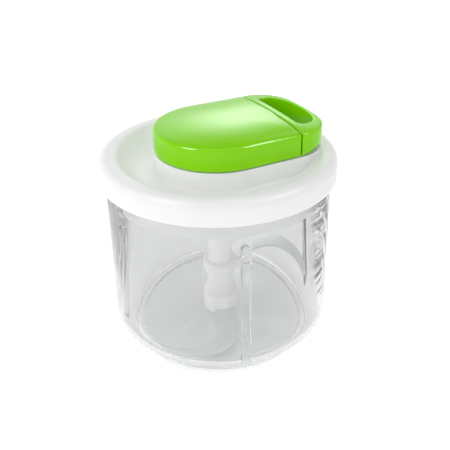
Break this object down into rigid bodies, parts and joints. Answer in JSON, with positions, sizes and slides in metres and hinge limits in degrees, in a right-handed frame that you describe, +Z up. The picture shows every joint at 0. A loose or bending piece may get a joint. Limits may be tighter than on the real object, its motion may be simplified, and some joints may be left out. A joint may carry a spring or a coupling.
{
  "type": "pull-cord food chopper",
  "caption": "Hand-pulled food chopper: clear round bowl with a turning column of swept blades, white dished lid and a green cord housing with a loop handle",
  "frame": {"origin": "middle of the bowl's foot, on the table, below the blade column's axis", "axes": "+Z up along the blade column, +X the way the handle is pulled"},
  "size_m": [0.13, 0.13, 0.127],
  "materials": {
    "clear_plastic": "clear polished food-safe plastic",
    "white_plastic": "white glossy plastic",
    "green_plastic": "lime green glossy plastic",
    "column_plastic": "white satin plastic",
    "grey_plastic": "grey satin plastic",
    "blade_steel": "ground stainless steel",
    "steel": "plain steel",
    "silicone": "pale translucent silicone",
    "cord": "white braided cord"
  },
  "bodies": {
    "bowl": {"bowl": "clear_plastic", "pivot_pin": "steel"},
    "blades": {"blade_column": "column_plastic", "blade_lower": "blade_steel", "blade_middle": "blade_steel", "blade_upper": "blade_steel"},
    "lid": {"lid_cover": "white_plastic", "inner_lid": "white_plastic", "seal_ring": "silicone", "drive_bush": "grey_plastic", "inner_lid_screw_1": "steel", "inner_lid_screw_2": "steel", "inner_lid_screw_3": "steel", "housing_screw_1": "steel", "housing_screw_2": "steel", "housing_screw_3": "steel", "housing_screw_4": "steel", "housing": "green_plastic", "axle": "steel", "spring_arbor": "grey_plastic", "mainspring": "steel", "cord_eyelet": "steel", "pull_cord": "cord"},
    "handle": {"handle": "green_plastic", "cord_knot": "cord"},
    "spool": {"spool": "grey_plastic", "spring_plate": "grey_plastic", "cord_winding": "cord", "pawl_pin_1": "steel", "pawl_pin_2": "steel"},
    "pawl_1": {"pawl_1": "grey_plastic"},
    "pawl_2": {"pawl_2": "grey_plastic"},
    "coupler": {"drive_coupler": "grey_plastic"}
  },
  "joints": [
    {"name": "lid_lift", "type": "slide", "parent": "bowl", "child": "lid", "axis": [0, 0, 1], "range_m": [0, 0.1]},
    {"name": "handle_pull", "type": "slide", "parent": "lid", "child": "handle", "axis": [1, 0, 0], "range_m": [0, 0.3], "stiffness_N_per_m": 15, "springref_m": -0.3},
    {"name": "spool_turn", "type": "hinge", "parent": "lid", "child": "spool", "pos_m": [0, 0, 0.116], "axis": [0, 0, 1], "range_deg": [0, 1140], "deforming": ["mainspring"]},
    {"name": "coupler_turn", "type": "hinge", "parent": "lid", "child": "coupler", "pos_m": [0, 0, 0.1], "axis": [0, 0, 1], "continuous": true},
    {"name": "blade_turn", "type": "hinge", "parent": "bowl", "child": "blades", "pos_m": [0, 0, 0.02], "axis": [0, 0, 1], "continuous": true},
    {"name": "pawl_1_swing", "type": "hinge", "parent": "spool", "child": "pawl_1", "pos_m": [0, 0.0175, 0.104], "axis": [0, 0, 1], "range_deg": [-12, 0], "stiffness_Nm_per_rad": 0.003, "springref_deg": 17.19},
    {"name": "pawl_2_swing", "type": "hinge", "parent": "spool", "child": "pawl_2", "pos_m": [0, -0.0175, 0.104], "axis": [0, 0, 1], "range_deg": [-12, 0], "stiffness_Nm_per_rad": 0.003, "springref_deg": 17.19}
  ],
  "couplings": [
    {"joint": "spool_turn", "follows": "handle_pull", "rad_per_m": 64.5},
    {"joint": "coupler_turn", "follows": "handle_pull", "rad_per_m": 64.5},
    {"joint": "blade_turn", "follows": "handle_pull", "rad_per_m": 64.5}
  ]
}
